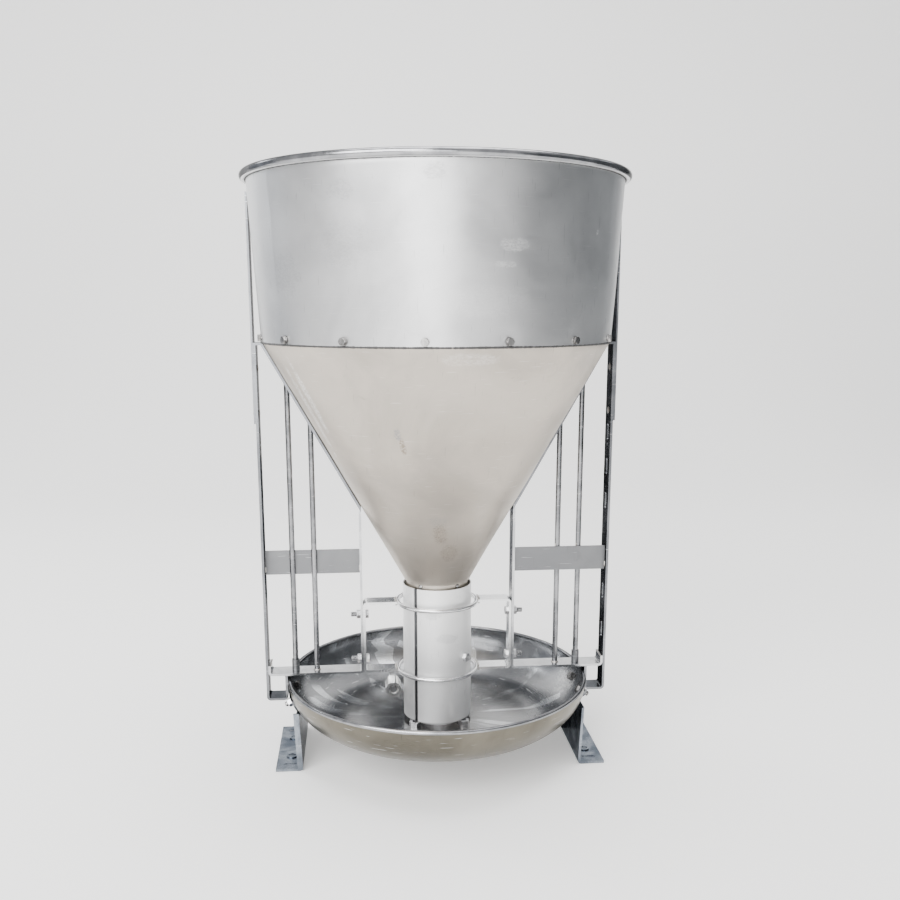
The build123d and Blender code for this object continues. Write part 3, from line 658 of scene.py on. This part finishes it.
panel_welds = []
for side, s in SIDES:
    panel_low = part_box("panel_frame_" + side)[0][2]
    plate_low, plate_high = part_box("band_plate_" + side)
    plate_front = plate_high[1] if side == "right" else plate_low[1]
    bar_top = panel_low + BAR_THICK
    for rods in ("inner_rods", "outer_rods"):
        x = s * (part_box(rods)[1][0] - ROD_R)
        if rods == "inner_rods":
            turns = [TAU * k / 12 for k in range(13)]
            panel_welds.append([(x + ROD_WELD_R * math.cos(turn), ROD_WELD_R * math.sin(turn),
                                 bar_top + 0.0004) for turn in turns])
        for z in (plate_low[2] + 0.004, plate_high[2] - 0.004):
            panel_welds.append([(x - 0.0042, plate_front + s * 0.0006, z),
                                (x - 0.0040, plate_front + s * 0.0008, z + s * 0.009)])
    tab_z = bar_top + TAB_WELD_UP
    panel_welds.append([(s * TAB_WELD_X, y, tab_z) for y in (-TAB_WELD_HALF, TAB_WELD_HALF)])
    mid_y = (plate_low[1] + plate_high[1]) / 2
    for x in (plate_high[0], plate_low[0]):
        panel_welds.append(upright_weld(x, mid_y - 0.0025, plate_low[2] + 0.004))
        panel_welds.append(upright_weld(x, mid_y + 0.0025, plate_high[2] - 0.014))
    for middle in (-0.012, 0.012):
        panel_welds.append([(s * FOOT_WELD_X, y, panel_low - 0.0006)
                            for y in (middle - 0.005, middle + 0.005)])
beads("weld_frame", panel_welds, 0.0013, "frame")

leg_welds = []
for side, s in SIDES:
    saddle_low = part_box("trough_saddle_" + side)[0][2]
    for y in (-0.035, 0.0, 0.030):
        middle = Vector((s * LEG_WELD_X, y, saddle_low + 0.0005))
        leg_welds.append([middle - LEG_WELD_HALF, middle + LEG_WELD_HALF])
beads("weld_legs", leg_welds, 0.0016, "frame")

# ---------------------------------------------------------------- welds of the rings to their arms
ring_welds = []
for name in ("upper_ring", "lower_ring"):
    z = middle_z(name)
    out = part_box(name)[1][0] + 0.0002
    turns = [math.radians(-11 + 22 * k / 8) for k in range(9)]
    for s in (1, -1):
        for above in (-0.0028, 0.0028):
            ring_welds.append([(s * out * math.cos(turn), out * math.sin(turn), z + above)
                               for turn in turns])
beads("weld_rings", ring_welds, 0.0019, "carriage")

# ---------------------------------------------------------------- finishes for the CAD nodes
FINISH = {
    "hopper_rim_wire": rod_metal, "hopper_neck": neck_metal, "neck_rivets": bolt_metal,
    "seam_bolts": bolt_metal, "seam_nuts": nut_metal, "strap_rivets": bolt_metal,
    "drop_tube": tube_metal, "tube_seam_strip": slit_metal_painted_shade, "tube_stop_bolts": stop_bolt_metal,
    "spreader_cone": neck_metal, "spacer_nuts": nut_metal, "trough_rim_wire": rod_metal,
    "saddle_bolts": bolt_metal, "upper_ring": ring_metal, "lower_ring": ring_metal,
    "bracket_bolts": bracket_bolt_metal, "outer_rods": rod_metal, "inner_rods": rod_metal,
    "rod_sleeves": plate_metal, "nipple_body": nipple_metal, "nipple_pin": pin_metal,
    "nipple_seal": seal_rubber, "nipple_strainer": neck_metal, "nipple_stay": arm_metal,
}
FLAT_FINISH = {
    "post_": flat_metal, "hopper_strap_": flat_metal, "incline_bar_": flat_metal,
    "panel_frame_": frame_metal, "c_bracket_": arm_metal, "band_plate_": plate_metal,
    "trough_saddle_": flat_metal, "leg_": zinc_metal,
}


def soften_edges(item):
    bevel = item.modifiers.new("soft_edges", "BEVEL")
    bevel.width = 0.0006
    bevel.segments = 2
    bevel.limit_method = "ANGLE"
    bevel.angle_limit = math.radians(40)


for name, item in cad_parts.items():
    flat = next((part for part in FLAT_FINISH if name.startswith(part)), None)
    finish = FLAT_FINISH[flat] if flat else FINISH.get(name, nut_metal if "nut" in name else bolt_metal)
    item.data.materials.clear()
    item.data.materials.append(finish)
    for polygon in item.data.polygons:
        polygon.use_smooth = True
    item.data.set_sharp_from_angle(angle=math.radians(32))
    if flat or name == "strap_rivets":
        soften_edges(item)

# ---------------------------------------------------------------- floor and backdrop
FLOOR_FRONT, FLOOR_BACK, FLOOR_HALF = -6.0, 2.2, 7
COVE_R = 1.6
WALL_TOP = 5.0

paper = matt("pale_paper", (0.90, 0.895, 0.885))
paper_shader = paper.node_tree.nodes["Principled BSDF"]
paper_shader.inputs["Emission Color"].default_value = (1.0, 0.995, 0.985, 1)
paper_shader.inputs["Emission Strength"].default_value = 0.30

profile = [(FLOOR_FRONT, 0.0), (FLOOR_BACK, 0.0)]
for turn in range(6, 91, 6):
    profile.append((FLOOR_BACK + COVE_R * math.sin(math.radians(turn)),
                    COVE_R - COVE_R * math.cos(math.radians(turn))))
profile.append((FLOOR_BACK + COVE_R, WALL_TOP))
paper_verts = []
for y, z in profile:
    paper_verts += [(-FLOOR_HALF, y, z), (FLOOR_HALF, y, z)]
paper_faces = [(2 * k, 2 * k + 1, 2 * k + 3, 2 * k + 2) for k in range(len(profile) - 1)]
mesh_object("backdrop", paper_verts, paper_faces, paper, 60.0)

# ---------------------------------------------------------------- cards that only the steel reflects
CARD_STEPS = 12
CARD_DISTANCE = 2.3
BEHIND_Y = 0.95


def reflected_only(name, verts, faces, tone):
    board = mesh_object(name, verts, faces, matt(name, tone))
    board.visible_camera = False
    board.visible_diffuse = False
    board.visible_shadow = False


def curved_card(name, start, stop, bottom, top, tone):
    """Card round the object from one angle to another, in degrees from the front."""
    verts = []
    for k in range(CARD_STEPS + 1):
        turn = math.radians(start + (stop - start) * k / CARD_STEPS)
        for z in (bottom, top):
            verts.append((CARD_DISTANCE * math.sin(turn), -CARD_DISTANCE * math.cos(turn), z))
    faces = [(2 * k, 2 * k + 2, 2 * k + 3, 2 * k + 1) for k in range(CARD_STEPS)]
    reflected_only(name, verts, faces, tone)


def upright_card(name, left, right, top):
    """Dark card behind the object, for the inner faces of the uprights to reflect."""
    corners = [(left, BEHIND_Y, 0.0), (right, BEHIND_Y, 0.0), (right, BEHIND_Y, top), (left, BEHIND_Y, top)]
    reflected_only(name, corners, [(0, 1, 2, 3)], (0.04, 0.044, 0.052))


curved_card("card_right", 40, 136, 0.05, 2.0, (0.07, 0.075, 0.08))
curved_card("card_left", -132, -100, 0.05, 1.8, (0.20, 0.21, 0.23))
upright_card("card_behind_right", -0.12, 0.16, 1.25)
upright_card("card_behind_left", -0.28, -0.12, 0.38)
floor_card = [(-0.12, 0.05, 0.001), (0.34, 0.05, 0.001), (0.34, 0.85, 0.001), (-0.12, 0.85, 0.001)]
reflected_only("card_floor", floor_card, [(0, 1, 2, 3)], (0.05, 0.055, 0.065))


# ---------------------------------------------------------------- lights and camera
def aimed(place, direction):
    return place, Vector(direction).to_track_quat("-Z", "Y").to_euler()


def softbox(name, place, aim, size, power, tint=(1, 1, 1)):
    data = bpy.data.lights.new(name, "AREA")
    data.shape = "RECTANGLE"
    data.size, data.size_y = size
    data.energy = power
    data.color = tint
    made = bpy.data.objects.new(name, data)
    made.location, made.rotation_euler = aimed(place, Vector(aim) - Vector(place))
    bpy.context.scene.collection.objects.link(made)


COOL = (0.95, 0.98, 1.0)
softbox("key", (-1.9, -2.6, 2.4), (0, 0, 0.55), (3.0, 2.4), 215)
softbox("front", (-0.5, -3.4, 1.0), (0, 0, 0.5), (1.6, 1.6), 40)
softbox("top", (0.2, 0.2, 3.4), (0, 0, 0), (2.6, 2.6), 105)
softbox("rim_right", (2.6, 1.6, 1.8), (0, 0, 0.5), (0.7, 1.8), 12, COOL)
softbox("rim_left", (-2.5, 1.7, 1.6), (0, 0, 0.5), (0.5, 1.8), 26, COOL)

world = bpy.context.scene.world or bpy.data.worlds.new("studio")
bpy.context.scene.world = world
world.use_nodes = True
sky = world.node_tree.nodes["Background"]
sky.inputs["Color"].default_value = (0.86, 0.865, 0.88, 1)
sky.inputs["Strength"].default_value = 0.98

camera_data = bpy.data.cameras.new("camera")
camera_data.sensor_width = 36
camera_data.lens = 39.44
camera_data.shift_y = 0.0733
camera = bpy.data.objects.new("camera", camera_data)
camera.location, camera.rotation_euler = aimed((-0.1269, -1.6148, 0.7552), (0.08996, 0.97429, -0.20654))
bpy.context.scene.collection.objects.link(camera)
bpy.context.scene.camera = camera
